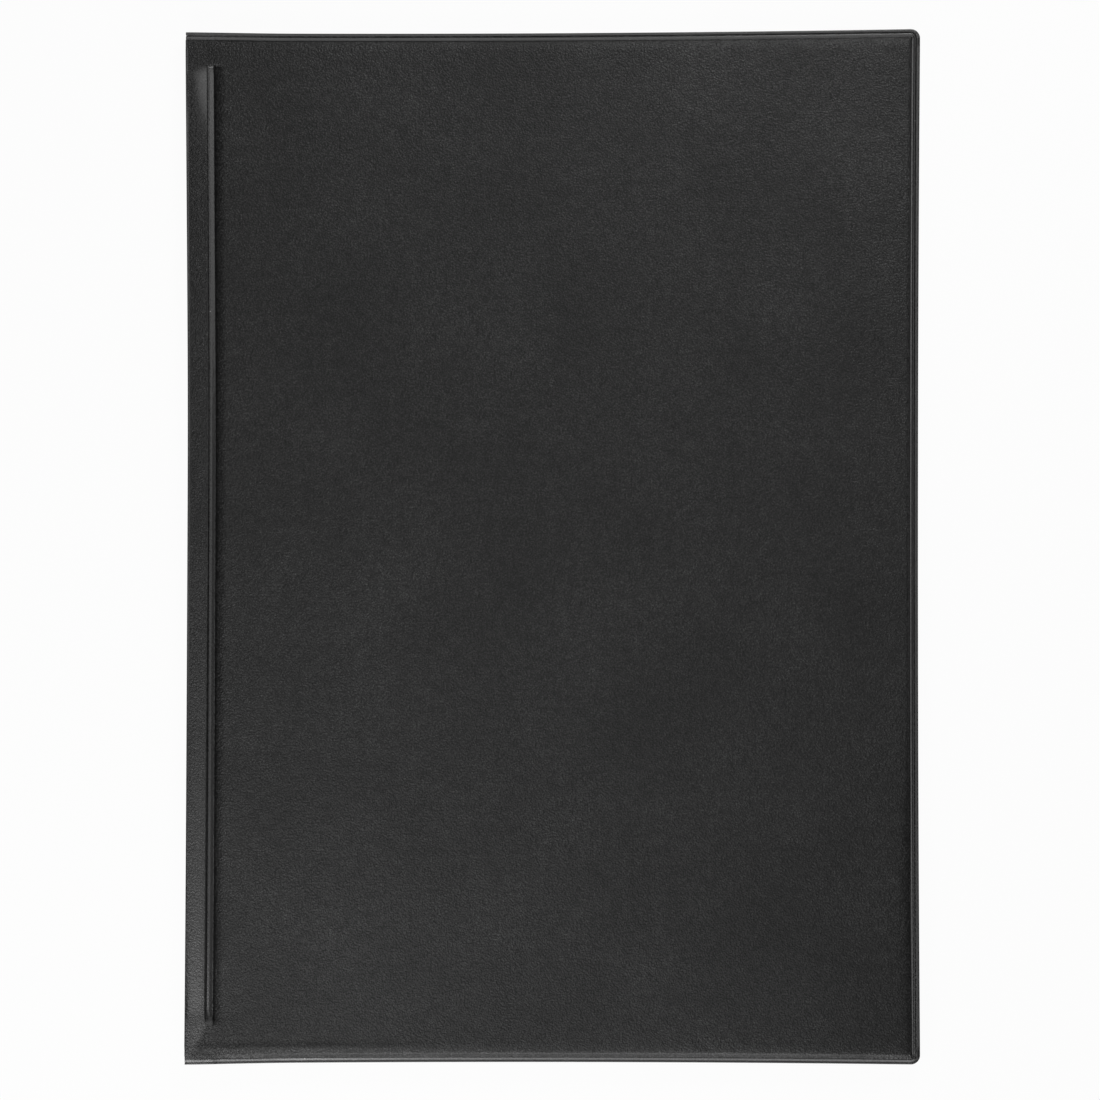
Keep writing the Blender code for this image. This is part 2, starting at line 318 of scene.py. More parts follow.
def roundCorner(foreGap, endGap):
    # moves points of a square ring onto the ring's round corner
    radius = cover["cornerRadius"]
    offset = np.minimum(foreGap, endGap)
    ring = radius - offset
    along = np.maximum(foreGap, endGap) - offset
    turning = (ring > 0) & (along < ring)
    angle = math.pi / 4 * (1 - along / np.where(turning, ring, 1))
    far, near = radius - ring * np.sin(angle), radius - ring * np.cos(angle)
    farFore = foreGap >= endGap
    roundFore = np.where(turning, np.where(farFore, far, near), foreGap)
    roundEnd = np.where(turning, np.where(farFore, near, far), endGap)
    return roundFore, roundEnd


def ripple(a, b, seed):
    # smooth noise, about -1 to 1, on a grid of points
    a, b = np.broadcast_arrays(a, b)
    values = [noise.noise(Vector((p, q, seed))) for p, q in zip(a.ravel(), b.ravel())]
    return np.array(values).reshape(a.shape)


def fromHingeEnds(height):
    # how far below the hinge weld's head end and above its foot end
    return halfHeight - hinge["headGap"] - height, height + halfHeight - hinge["footGap"]


def hingeShare(height):
    # 1 along the hinge weld, easing to 0 at its run-outs
    fromHead, fromFoot = fromHingeEnds(height)
    return eased(fromFoot / hinge["footRunOut"]) * eased(fromHead / hinge["headRunOut"])


def thinned(lines, fixed, step):
    # marks the fixed lines and about one in every step millimetres of the others
    keep = np.zeros(len(lines), bool)
    last = -1e9
    for i, (place, isFixed) in enumerate(zip(lines, fixed)):
        if isFixed or place - last >= step:
            keep[i] = True
            last = place
    keep[0] = keep[-1] = True
    return keep


def lineSet(fixed, start, end, spacing):
    # the fixed places plus evenly spaced lines in the gaps between them
    places = np.unique(np.round(np.concatenate([[start, end], fixed]), 5))
    places = places[(places >= start - 1e-4) & (places <= end + 1e-4)]
    lines, marks = [], []
    for low, high in zip(places[:-1], places[1:]):
        count = max(1, int(round((high - low) / spacing)))
        for i in range(count):
            lines.append(low + (high - low) * i / count)
            marks.append(i == 0)
    lines.append(places[-1])
    marks.append(True)
    return np.array(lines), np.array(marks)


def offsetSheet(points, thickness, flip):
    across, along = np.gradient(points, axis=0), np.gradient(points, axis=1)
    normal = np.cross(across, along)
    normal /= np.linalg.norm(normal, axis=-1, keepdims=True)
    return points + normal * (thickness if flip else -thickness)


def closedMesh(name, outer, inner, flip, layers, keepAcross=None, keepAlong=None):
    # a closed sheet: a fine outer face, an inner face on the kept lines or on all, and the rim between
    rows, cols = outer.shape[:2]
    outerAt = np.arange(rows * cols).reshape(rows, cols)
    keptRows = np.arange(rows) if keepAcross is None else np.flatnonzero(keepAcross)
    keptCols = np.arange(cols) if keepAlong is None else np.flatnonzero(keepAlong)
    innerPoints = inner[keptRows][:, keptCols]
    innerAt = rows * cols + np.arange(innerPoints.size // 3).reshape(innerPoints.shape[:2])

    def quads(at, turned):
        a, b, c, d = at[:-1, :-1], at[1:, :-1], at[1:, 1:], at[:-1, 1:]
        order = (a, d, c, b) if turned else (a, b, c, d)
        return np.stack([x.ravel() for x in order], axis=1).tolist()

    faces = quads(outerAt, False) + quads(innerAt, True)

    def rim(edge, kept, innerEdge, forward):
        for k in range(len(kept) - 1):
            run = edge[kept[k] : kept[k + 1] + 1].tolist()
            ends = [int(innerEdge[k]), int(innerEdge[k + 1])]
            faces.append(run + ends[::-1] if forward else run[::-1] + ends)

    rim(outerAt[:, 0], keptRows, innerAt[:, 0], False)
    rim(outerAt[-1, :], keptCols, innerAt[-1, :], False)
    rim(outerAt[:, -1], keptRows, innerAt[:, -1], True)
    rim(outerAt[0, :], keptCols, innerAt[0, :], True)
    if flip:
        faces = [face[::-1] for face in faces]
    verts = np.concatenate([outer.reshape(-1, 3), innerPoints.reshape(-1, 3)]) * mm
    mesh = bpy.data.meshes.new(name)
    mesh.from_pydata(verts.tolist(), [], faces)
    for layer, values in layers.items():
        values = np.broadcast_to(values, outer.shape if values.ndim == 3 else outer.shape[:2])
        innerValues = values[keptRows][:, keptCols]
        if values.ndim == 3:
            attribute = mesh.attributes.new(layer, "FLOAT_VECTOR", "POINT")
            data = np.concatenate([values.reshape(-1, 3), innerValues.reshape(-1, 3)])
            attribute.data.foreach_set("vector", data.astype(np.float32).ravel())
        else:
            attribute = mesh.attributes.new(layer, "FLOAT", "POINT")
            data = np.concatenate([values.ravel(), innerValues.ravel()])
            attribute.data.foreach_set("value", data.astype(np.float32))
    mesh.shade_smooth()
    mesh.set_sharp_from_angle(angle=math.radians(cover["sharpAngle"]))
    return mesh


def addPiece(name, mesh, material):
    piece = bpy.data.objects.new(name, mesh)
    mesh.materials.append(material)
    bpy.context.scene.collection.objects.link(piece)
    return piece


def addSheet(name, side, points, thickness, layers, material, slot, keepAcross=None, keepAlong=None):
    inner = offsetSheet(points, thickness, side < 0)
    mesh = closedMesh(name, points, inner, side < 0, layers, keepAcross, keepAlong)
    return addPiece(name, mesh, material)


# Node helpers for the finishes
def addNode(tree, kind, inputs=None, **settings):
    made = tree.nodes.new(kind)
    for key, value in settings.items():
        setattr(made, key, value)
    for key, value in (inputs or {}).items():
        if isinstance(value, bpy.types.NodeSocket):
            tree.links.new(value, made.inputs[key])
        else:
            made.inputs[key].default_value = value
    return made


def newTree(name):
    material = bpy.data.materials.new(name)
    material.use_nodes = True
    material.node_tree.nodes.clear()
    return material, material.node_tree


def mathNode(tree, operation, a, b=0.0):
    return addNode(tree, "ShaderNodeMath", {0: a, 1: b}, operation=operation).outputs[0]


def mapRange(tree, value, fromLow, fromHigh, toLow, toHigh, **settings):
    inputs = {"Value": value, "From Min": fromLow, "From Max": fromHigh, "To Min": toLow, "To Max": toHigh}
    return addNode(tree, "ShaderNodeMapRange", inputs, **settings).outputs["Result"]


def fromNoise(tree, value, low, high):
    # noise lies mostly between these two levels
    return mapRange(tree, value, 0.3, 0.7, low, high)


def mixValue(tree, share, a, b):
    inputs = {"Factor": share, "A": a, "B": b}
    return addNode(tree, "ShaderNodeMix", inputs, data_type="FLOAT").outputs["Result"]


def grey(tree, value):
    parts = {"Red": value, "Green": value, "Blue": value}
    return addNode(tree, "ShaderNodeCombineColor", parts).outputs[0]


def bumped(tree, height, strength=1.0, distance=1.0):
    inputs = {"Strength": strength, "Distance": distance, "Height": height}
    return addNode(tree, "ShaderNodeBump", inputs).outputs["Normal"]


def noiseNode(tree, place, scale, detail, roughness=0.5):
    inputs = {"Vector": place, "Scale": scale, "Detail": detail, "Roughness": roughness}
    return addNode(tree, "ShaderNodeTexNoise", inputs).outputs["Fac"]


def cellNode(tree, place, cell):
    inputs = {"Vector": place, "Scale": 1 / cell, "Randomness": 1.0}
    return addNode(tree, "ShaderNodeTexVoronoi", inputs, feature="F1").outputs["Distance"]


def closeTree(tree, shader):
    addNode(tree, "ShaderNodeOutputMaterial", {"Surface": shader})


# The grained vinyl of the outside
vinyl = {
    "shade": 0.016,
    "contrast": 1.0,  # of the shade, from grain to grain, paler on the grain's raised tops, a painted highlight
    "pitShadeShare": 0.56,  # part of the contrast that the pebbles take, as painted shade in their pits
    "mottle": 0.36,
    "patch": 0.38,
    "sheenShade": 0.030,  # paler where pressed: painted sheen on the smooth welds, leg and fold
    "pressedSpread": 0.3,
    "beadHighlight": 6.0,  # times paler on the beads, a painted highlight, where the pressed share reaches 3
    "roughness": 0.48,
    "cloudRoughness": 0.03,
    "grainRoughness": 0.15,
    "pressedRoughness": 0.17,
    "specular": 0.42,
    "cloudScale": 0.022,
    "patchScale": 0.30,
    "textureRoughness": 0.6,
    "pebble": 0.60,
    "pebbleDepth": 0.12,
    "fibre": 1.9,
    "fibreDepth": 0.17,
    "pressedRelief": 0.12,  # share of the relief left under a weld
    "speckCell": 8.0,  # pale dust caught in the welds
    "speck": 0.28,
    "speckShade": 0.3,
}


def makeVinyl(name, look):
    material, tree = newTree(name)
    flat = addNode(tree, "ShaderNodeAttribute", attribute_name="flatSheet").outputs["Vector"]
    pressedAndSheen = addNode(tree, "ShaderNodeAttribute", attribute_name="pressedAndSheen").outputs["Fac"]
    clouds = noiseNode(tree, flat, look["cloudScale"], 4.0, look["textureRoughness"])
    patches = noiseNode(tree, flat, look["patchScale"], 3.0, look["textureRoughness"])
    fine = noiseNode(tree, flat, look["fibre"], 2.0, look["textureRoughness"])
    pebbles = cellNode(tree, flat, look["pebble"])

    def times(value, factor):
        return mathNode(tree, "MULTIPLY", value, factor)

    def spread(value, share):
        return fromNoise(tree, value, 1 - share, 1 + share)

    # the grain's relief, flattened under a weld
    relief = times(pebbles, -look["pebbleDepth"] * mm)
    relief = mathNode(tree, "ADD", relief, times(fine, look["fibreDepth"] * mm))
    relief = times(relief, mapRange(tree, pressedAndSheen, 0.2, 0.9, 1, look["pressedRelief"]))

    # shade: clouds, patches and grain with painted shade in its pits and paler tops, a painted sheen where
    # pressed, and a few specks in the welds
    shade = times(spread(clouds, look["mottle"]), look["shade"])
    shade = times(shade, spread(patches, look["patch"]))
    shade = times(shade, spread(fine, look["contrast"]))
    pitShade = look["pitShadeShare"] * look["contrast"]
    shade = times(shade, mapRange(tree, pebbles, 0.1, 0.7, 1 + pitShade, 1 - pitShade))
    paintedSheen = times(spread(fine, look["pressedSpread"]), look["sheenShade"])
    paintedSheen = times(paintedSheen, mapRange(tree, pressedAndSheen, 1, 3, 1, look["beadHighlight"]))
    shade = mixValue(tree, times(pressedAndSheen, pressedAndSheen), shade, paintedSheen)
    speck = look["speck"] / look["speckCell"]
    specks = mapRange(tree, cellNode(tree, flat, look["speckCell"]), speck, 0.6 * speck, 0, 1)
    specks = times(specks, mapRange(tree, pressedAndSheen, 0.8, 1.0, 0, 1))
    shade = mixValue(tree, specks, shade, look["speckShade"])

    # roughness: the same clouds, patches and grain, smooth where pressed
    cloudy = look["cloudRoughness"]
    rough = fromNoise(tree, clouds, look["roughness"] + cloudy, look["roughness"] - cloudy)
    rough = mathNode(tree, "ADD", rough, fromNoise(tree, patches, cloudy, -cloudy))
    grain = fromNoise(tree, fine, look["grainRoughness"], -look["grainRoughness"])
    rough = mixValue(tree, pressedAndSheen, mathNode(tree, "ADD", rough, grain), look["pressedRoughness"])
    inputs = {
        "Base Color": grey(tree, shade),
        "Roughness": rough,
        "Specular IOR Level": look["specular"],
        "Normal": bumped(tree, relief),
    }
    closeTree(tree, addNode(tree, "ShaderNodeBsdfPrincipled", inputs).outputs["BSDF"])
    return material


# The soft clear film of the pockets
film = {
    "clear": (0.97, 0.975, 0.975, 1),
    "milky": (0.8, 0.82, 0.83, 1),
    "haze": (0.014, 0.020),
    "gloss": (0.028, 0.10),  # from straight on to edge on, low so that little glares
    "roughness": 0.24,
    "ior": 1.45,
    "waveScale": 0.035,
    "waveDepth": 0.14,
}


def makeFilm(name):
    material, tree = newTree(name)
    flat = addNode(tree, "ShaderNodeAttribute", attribute_name="flatSheet").outputs["Vector"]
    wave = noiseNode(tree, flat, film["waveScale"], 2.0)
    bump = bumped(tree, wave, distance=film["waveDepth"] * mm)
    haze = fromNoise(tree, wave, *film["haze"])
    clear = addNode(tree, "ShaderNodeBsdfTransparent", {"Color": film["clear"]}).outputs[0]
    milky = addNode(tree, "ShaderNodeBsdfDiffuse", {"Color": film["milky"]}).outputs[0]
    body = addNode(tree, "ShaderNodeMixShader", {0: haze, 1: clear, 2: milky}).outputs[0]
    gloss = addNode(tree, "ShaderNodeBsdfGlossy", {"Roughness": film["roughness"], "Normal": bump}).outputs[0]
    edge = addNode(tree, "ShaderNodeFresnel", {"IOR": film["ior"], "Normal": bump}).outputs[0]
    edge = mapRange(tree, edge, 0, 1, *film["gloss"])
    closeTree(tree, addNode(tree, "ShaderNodeMixShader", {0: edge, 1: body, 2: gloss}).outputs[0])
    return material


# The raw board inside the covers
rawBoard = {
    "tone": (0.26, 0.38),
    "fibreScale": 900.0,
    "fibreDepth": 0.05,
    "strength": 0.6,
    "roughness": 0.9,
    "specular": 0.2,
}


def makeGreyboard(name):
    material, tree = newTree(name)
    place = addNode(tree, "ShaderNodeTexCoord").outputs["Object"]
    fibres = noiseNode(tree, place, rawBoard["fibreScale"], 4.0)
    inputs = {
        "Base Color": grey(tree, fromNoise(tree, fibres, *rawBoard["tone"])),
        "Roughness": rawBoard["roughness"],
        "Specular IOR Level": rawBoard["specular"],
        "Normal": bumped(tree, fibres, rawBoard["strength"], rawBoard["fibreDepth"] * mm),
    }
    closeTree(tree, addNode(tree, "ShaderNodeBsdfPrincipled", inputs).outputs["BSDF"])
    return material


# How the smooth vinyl of the inside differs from the grained one
smooth = {
    "shade": 0.012,
    "contrast": 0.2,
    "mottle": 0.10,
    "patch": 0.05,
    "roughness": 0.42,
    "grainRoughness": 0.04,
    "pebble": 0.5,
    "pebbleDepth": 0.01,
    "fibreDepth": 0.006,
}
skinVinyl = makeVinyl("grained_vinyl_finish", vinyl)
liningVinyl = makeVinyl("smooth_vinyl_finish", dict(vinyl, **smooth))
clearFilm = makeFilm("clear_film_finish")
greyboard = makeGreyboard("greyboard_finish")
print("materials made", flush=True)

# The outer skin: grained sheets welded round the boards, folded at the spine
skin = {
    "acrossSpacing": 1.6,
    "alongSpacing": 2.4,
    "foldSpacing": 0.45,
    "innerSpacing": 8.0,  # of the hidden face
    "lipLines": (6.7, 9.5, 0.45),  # closer lines over the foot lip and at the hinge weld's head end
    "headLines": (3.0, 16.0, 0.5),
    "panelFade": 2.0,
    "waveSize": 55.0,
    "waveDepth": 0.10,
    "waveRise": 0.3,
    "fineWave": 0.4,
    "fineWaveScale": 2.3,
    "foreSag": 0.06,
    "headSag": 0.06,
    "footSag": 0.12,
    "endReach": 9.0,
    "foreSlack": 1.05,  # slack of the skin at the lower fore edge, far and near
    "foreReach": 34.0,
    "nearSlack": 0.95,
    "nearReach": 3.6,
    "slackPlace": -113.0,
    "slackRun": 50.0,
    "foreLift": 0.30,  # rise of the skin at the fore edge, just below the middle
    "liftReach": 18.0,
    "liftPlace": -22.0,
    "liftRun": 38.0,
    "footLip": 0.36,  # rise of the skin over the board's foot edge, near the spine
    "lipPlace": 5.1,
    "lipHalf": 1.2,
    "lipStart": 2.0,
    "lipStartRun": 5.0,
    "lipEnd": 100.0,
    "lipEndRun": 70.0,
    "lipUneven": 0.6,
    "lipSize": (7.0, 30.0),
    "pucker": 0.15,  # puckers in the end shoulders
    "puckerSize": 1.2,
    "finePucker": 0.5,
    "finePuckerSize": 0.9,
    "puckerDepth": 6.0,
    "puckerStart": 0.8,
    "puckerWidth": 4.0,
    "puckerFade": 2.5,
    "headPucker": 0.35,
}

# The soft leg of the skin, between the fold and the hinge weld
leg = {
    "ramp": 4.0,  # to the panel, past the ends of the weld
    "past": 0.6,
    "pastFade": 0.45,
    "foldFade": 1.2,
    "crown": 0.05,  # fall of the leg from its crown to its sides
    "endSink": 0.35,  # fall of the leg just below the hinge weld's ends
    "endStart": 6.0,
    "endRun": 13.0,
    "pucker": 0.11,
    "puckerSize": (0.9, 7.0),
    "puckerPlace": 5.0,
    "puckerHalf": 4.0,
    "puckerReach": 3.0,
}

# Where the skin is smoother, with a paler shade that is painted sheen: the welds, the stretched leg and the
# fold
shine = {
    "landEdge": 0.15,
    "landFade": 0.2,
    "grooveDull": 0.9,  # share of the gloss and painted sheen that a groove takes away: painted shade in the groove
    "stripEdge": 0.1,
    "stripFade": 0.2,
    "stripHighlight": 0.6,
    "stripRun": 30.0,
    "endHighlight": 1.75,  # painted highlight where the hinge weld ends at the foot
    "endPlace": 1.1,
    "endHalf": 1.2,
    "endStart": 0.3,
    "endFade": 0.9,
    "endEdge": 0.5,
    "stretchSheen": 1.30,  # gloss and painted highlight of the leg where the hinge weld's head end has stretched it
    "stretchStart": 3.0,
    "stretchRun": 20.0,
    "stretchTop": 0.3,
    "stretchTopRun": 5.0,
    "stretchReach": 6.0,
    # toward the foot the leg is smoother and paler, a painted sheen
    "footStretchSheen": 0.60,
    "footStart": 60.0,
    "footRun": 200.0,
    "footNear": 0.74,
    "footReach": 4.0,
    "legGloss": 0.19,
    "legStart": 0.5,
    "legEdge": 0.15,
    "legFade": 0.4,
    "belowRun": 9.0,  # below the hinge weld the leg's gloss draws in and fades
    "belowDraw": 1.85,
    "belowFade": 3.6,
    "foldGloss": 1.4,
    "foldLeast": 0.3,
    "foldStart": -150.0,
    "foldRun": 130.0,
    "foldPlace": 0.3,
    "foldHalf": 0.6,
}

alongFixed = np.concatenate(
    [
        weldLines(weld["foot"]) - halfHeight,
        np.arange(*skin["lipLines"]) - halfHeight,
        halfHeight - weldLines(weld["head"]),
        hinge["footGap"] - halfHeight + hinge["footRunOut"] * np.linspace(0, 1, hinge["lines"]),
        halfHeight - hinge["headGap"] - hinge["headRunOut"] * np.linspace(0, 1, hinge["lines"]),
        halfHeight - hinge["headGap"] - np.arange(*skin["headLines"]),
    ]
)
alongLines, alongMarks = lineSet(alongFixed, -halfHeight, halfHeight, skin["alongSpacing"])
alongKeep = thinned(alongLines, alongMarks, skin["innerSpacing"])


def legShare(reach):
    # 1 on the soft leg between fold and hinge weld
    return eased((hinge["setback"] + leg["past"] - reach) / leg["pastFade"]) * eased(reach / leg["foldFade"])


def near(gap, reach):
    # 1 at a weld, easing to 0 at this reach from it
    return np.clip(1 - gap / reach, 0, 1) ** 2


def skinDepth(length, height, foreGap, endGap):
    reach = reachOf(length)
    atFoot = height < 0
    atEnd = np.where(atFoot, weldDrop(endGap, weld["foot"]), weldDrop(endGap, weld["head"]))
    endGroove = np.where(atFoot, grooveDrop(endGap, weld["foot"]), grooveDrop(endGap, weld["head"]))
    sealed = sealDepth(reach) / weld["depth"]
    atEnd = atEnd * sealed + endGroove * (0.5 + 0.5 * sealed)
    atFore = weldDrop(foreGap, weld["fore"]) + grooveDrop(foreGap, weld["fore"])
    endPart = eased(0.5 + (foreGap - endGap) / weld["mitre"])
    edge = atFore * (1 - endPart) + atEnd * endPart
    groove = hingeDrop(reach, height) * hingeShare(height)
    legDrop = cover["legSink"] * eased((hinge["setback"] + leg["ramp"] - reach) / leg["ramp"])
    depth = np.maximum(np.maximum(edge, groove), legDrop)
    loose = 1 - np.clip(depth / weld["depth"], 0, 1)

    # the soft leg: a low crown, sunk just below the ends of the hinge weld, puckered at its head end
    middle = (hinge["setback"] + cover["skinBend"]) / 2
    crown = np.clip((reach - middle) / (hinge["setback"] - middle), -1, 1) ** 2
    fromEnd = np.minimum(*fromHingeEnds(height))
    sunk = np.exp(-np.maximum(fromEnd, 0) / leg["endRun"]) * eased(fromEnd / leg["endStart"])
    depth = depth + legShare(reach) * loose * (leg["crown"] * crown + leg["endSink"] * sunk)
    nearHead = bell(halfHeight - hinge["headGap"] - leg["puckerPlace"], height, leg["puckerHalf"])
    along, across = leg["puckerSize"]
    legPucker = ripple(height / along, reach / across, seeds["legPucker"]) * nearHead
    legPucker = legPucker * eased((reach - leg["puckerReach"]) / leg["puckerReach"])
    depth = depth + legShare(reach) * loose * leg["pucker"] * legPucker

    # slack of the skin beside the shoulders
    onPanel = eased((reach - hinge["setback"] - hinge["width"]) / skin["panelFade"])
    fromWeld = foreGap - weld["fore"]["width"]
    slack = skin["foreSlack"] * near(fromWeld, skin["foreReach"])
    slack = slack + skin["nearSlack"] * near(fromWeld, skin["nearReach"])
    slack = slack * bell(height, skin["slackPlace"], skin["slackRun"])
    lift = skin["foreLift"] * bell(height, skin["liftPlace"], skin["liftRun"])
    lift = lift * near(fromWeld, skin["liftReach"])
    slack = slack + skin["foreSag"] * near(fromWeld, skin["endReach"]) - lift
    endSag = np.where(height > 0, skin["headSag"], skin["footSag"])
    endSag = endSag * near(endGap - weld["foot"]["width"], skin["endReach"])

    # the lip over the board's foot edge
    lip = skin["footLip"] * bell(height + halfHeight, skin["lipPlace"], skin["lipHalf"])
    lip = lip * eased((skin["lipEnd"] - reach) / skin["lipEndRun"])
    along, across = skin["lipSize"]
    lip = lip * (1 + skin["lipUneven"] * ripple(length / along, height / across, seeds["lip"]))
    lip = lip * eased((reach - skin["lipStart"]) / skin["lipStartRun"])
    depth = depth + loose * (onPanel * (slack + endSag) - lip)

    # low waves in the panel, and puckers in the end shoulders
    size, finer = skin["waveSize"], skin["fineWaveScale"]
    waves = ripple(length / size, height / size, seeds["waves"])
    fineWaves = ripple(length / size * finer, height / size * finer, seeds["fineWaves"])
    waves = waves + skin["fineWave"] * fineWaves
    depth = depth + skin["waveDepth"] * onPanel * loose * (waves + skin["waveRise"])
    start = np.where(atFoot, weld["foot"]["width"], weld["head"]["width"])
    inShoulder = eased((endGap - start) / skin["puckerStart"])
    inShoulder = inShoulder * eased((start + skin["puckerWidth"] - endGap) / skin["puckerFade"])
    down = endGap / skin["puckerDepth"]
    finePucker = ripple(length / skin["finePuckerSize"], down, seeds["finePucker"])
    pucker = ripple(length / skin["puckerSize"], down, seeds["pucker"]) + skin["finePucker"] * finePucker
    return depth + skin["pucker"] * pucker * inShoulder * np.where(atFoot, 1.0, skin["headPucker"])


def pressedAndSheenShare(length, height, foreGap, endGap):
    # 1 where a weld has pressed the grain flat, more on its painted highlight line, less where the leg is
    # stretched; the share also paints a paler sheen
    reach = reachOf(length)
    shares = []
    for gap, plan, here in (
        (foreGap, weld["fore"], foreGap <= endGap),
        (endGap, weld["head"], (height > 0) & (endGap < foreGap)),
        (endGap, weld["foot"], (height <= 0) & (endGap < foreGap)),
    ):
        land = eased((plan["width"] + shine["landEdge"] - plan["bare"] - gap) / shine["landFade"])
        land = land * (1 - shine["grooveDull"] * grooveShare(gap, plan))
        place, half, highlight = plan["bead"]
        land = land * (1 + highlight * bell(gap, place, half))
        shares.append(np.where(here, land, 0))

    # the strip of the hinge weld, with a painted highlight toward its head and where it ends at the foot
    inStrip = inHinge(reach)
    fromHead, fromFoot = fromHingeEnds(height)
    endHighlightShare = shine["endHighlight"] * bell(fromFoot, shine["endPlace"], shine["endHalf"])
    endHighlightShare = endHighlightShare * eased((fromFoot + shine["endStart"]) / shine["endFade"])
    shares.append(endHighlightShare * eased((inStrip + shine["endEdge"]) / shine["endEdge"]))
    strip = eased((inStrip + shine["stripEdge"]) / shine["stripFade"])
    strip = strip * (1 + shine["stripHighlight"] * bell(fromHead, 0, shine["stripRun"]))
    shares.append(strip * eased(hingeShare(height) * 3 - 1))

    # the leg, stretched at the weld's head end and slack toward the foot, smoother there and with a painted
    # sheen
    stretchSheen = shine["stretchSheen"] * bell(fromHead, 0, shine["stretchRun"])
    stretchSheen = stretchSheen * eased(fromHead / shine["stretchStart"])
    stretchSheen = stretchSheen * (1 + shine["stretchTop"] * bell(fromHead, 0, shine["stretchTopRun"]))
    fromFold = reach - shine["legStart"]
    stretchSheen = stretchSheen * np.clip(fromFold / shine["stretchReach"], 0, 1)
    slackLegSheen = shine["footStretchSheen"] * eased((shine["footStart"] - height) / shine["footRun"])
    outward = (1 - shine["footNear"]) * eased(fromFold / shine["footReach"])
    stretchSheen = stretchSheen + shine["legGloss"] * hingeShare(height) + slackLegSheen * (shine["footNear"] + outward)
    below = eased((hinge["footGap"] - halfHeight - height) / shine["belowRun"])
    edgeOfLeg = hinge["setback"] + shine["legEdge"] - shine["belowDraw"] * below
    inLeg = eased((edgeOfLeg - reach) / (shine["legFade"] + shine["belowFade"] * below))
    shares.append(stretchSheen * inLeg * eased(reach))

    # the fold at the spine, smoother and with a painted highlight along it
    rubbed = (1 - shine["foldLeast"]) * eased((height - shine["foldStart"]) / shine["foldRun"])
    foldGloss = shine["foldGloss"] * (shine["foldLeast"] + rubbed)
    shares.append(foldGloss * bell(reach, shine["foldPlace"], shine["foldHalf"]))
    return np.maximum.reduce(shares)


def skinPoints(lengths, side):
    length, height = np.meshgrid(lengths, alongLines, indexing="ij")
    ringFore, ringEnd = foreLength - length, halfHeight - np.abs(height)
    foreGap, endGap = roundCorner(ringFore, ringEnd)
    depth = skinDepth(length, height, ringFore, ringEnd)
    if side < 0:
        depth = np.maximum(depth, 0)  # pressed flat by the table
    placeLength, placeHeight = foreLength - foreGap, np.copysign(halfHeight - endGap, height)
    points = drawIn(wrapSheet(placeLength, placeHeight, depth, side))
    flat = np.stack([side * placeLength, placeHeight, np.zeros_like(depth)], axis=-1)
    return points, {"pressedAndSheen": pressedAndSheenShare(length, height, ringFore, ringEnd), "flatSheet": flat}


splitLength = lengthOf(cover["split"])


def makeSkin(name, side, node, body):
    fixed = np.concatenate([lengthOf(hingeLines()), foreLength - weldLines(weld["fore"])])
    lengths, marks = lineSet(fixed, splitLength, foreLength, skin["acrossSpacing"])
    points, layers = skinPoints(lengths, side)
    keepAcross = thinned(lengths, marks, skin["innerSpacing"])
    finish = (skinVinyl, "grained_vinyl")
    piece = addSheet(name, side, points, cover["skin"], layers, *finish, keepAcross, alongKeep)
    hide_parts(node)
    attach(piece, body)
    print(name, len(piece.data.polygons), flush=True)


def makeFold(name, side, node):
    _, halfWall, foldEnd = foldPlan(cover["skinBend"])
    foldLines = np.linspace(halfWall, foldEnd, hinge["lines"])
    lengths, _ = lineSet(foldLines, 0, splitLength, skin["foldSpacing"])
    points, layers = skinPoints(lengths, side)
    finish = (skinVinyl, "grained_vinyl")
    piece = addSheet(name, side, points, cover["skin"], layers, *finish, keepAlong=alongKeep)
    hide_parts(node)
    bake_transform(piece)
    print(name, len(piece.data.polygons), flush=True)


makeSkin("front_skin_sheet", 1, "front_skin", "front_cover")
makeSkin("back_skin_sheet", -1, "back_skin", "back_cover")
makeFold("spine_skin_front", 1, "spine_skin")
makeFold("spine_skin_back", -1, "spine_skin")

# The stiff boards, whose faces follow the skin where it presses on their edges
board = {
    "inset": 3.7,
    "top": 0.75,
    "clear": 0.05,
    "hingeGap": 1.6,
    "edgeThick": 0.4,  # least thickness under the shoulders
    "cut": 1.5,  # taken off the ends of the hinge side
    "cutRun": 24.0,
    "spacing": 8.0,
    "edgeSpacing": 0.9,
    "edgeRun": 10.0,
}


def boardLines(low, high):
    run = np.arange(0, board["edgeRun"], board["edgeSpacing"])
    return lineSet(np.concatenate([low + run, high - run]), low, high, board["spacing"])[0]


def makeBoard(name, side, node, body):
    left = hinge["setback"] + hinge["width"] + board["hingeGap"]
    top = halfHeight - board["inset"]
    reaches, heights = boardLines(left, cover["width"] - board["inset"]), boardLines(-top, top)
    reach, y = np.meshgrid(reaches, heights, indexing="ij")
    y = y * (1 - board["cut"] / top * (1 - eased((reach - left) / board["cutRun"])))
    length = lengthOf(reach)
    under = skinDepth(length, y, foreLength - length, halfHeight - np.abs(y))
    under = under + cover["skin"] + board["clear"]
    bottom = np.full_like(y, board["top"] + cover["board"])
    depth = np.minimum(np.maximum(under, board["top"]), bottom - board["edgeThick"])
    outer = drawIn(np.stack([reach - halfWidth, y, halfThick + side * (halfThick - depth)], axis=-1))
    inner = drawIn(np.stack([reach - halfWidth, y, halfThick + side * (halfThick - bottom)], axis=-1))
    mesh = closedMesh(name, outer, inner, side < 0, {})
    piece = addPiece(name, mesh, greyboard)
    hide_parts(node)
    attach(piece, body)


makeBoard("front_board_panel", 1, "front_board", "front_cover")
makeBoard("back_board_panel", -1, "back_board", "back_cover")

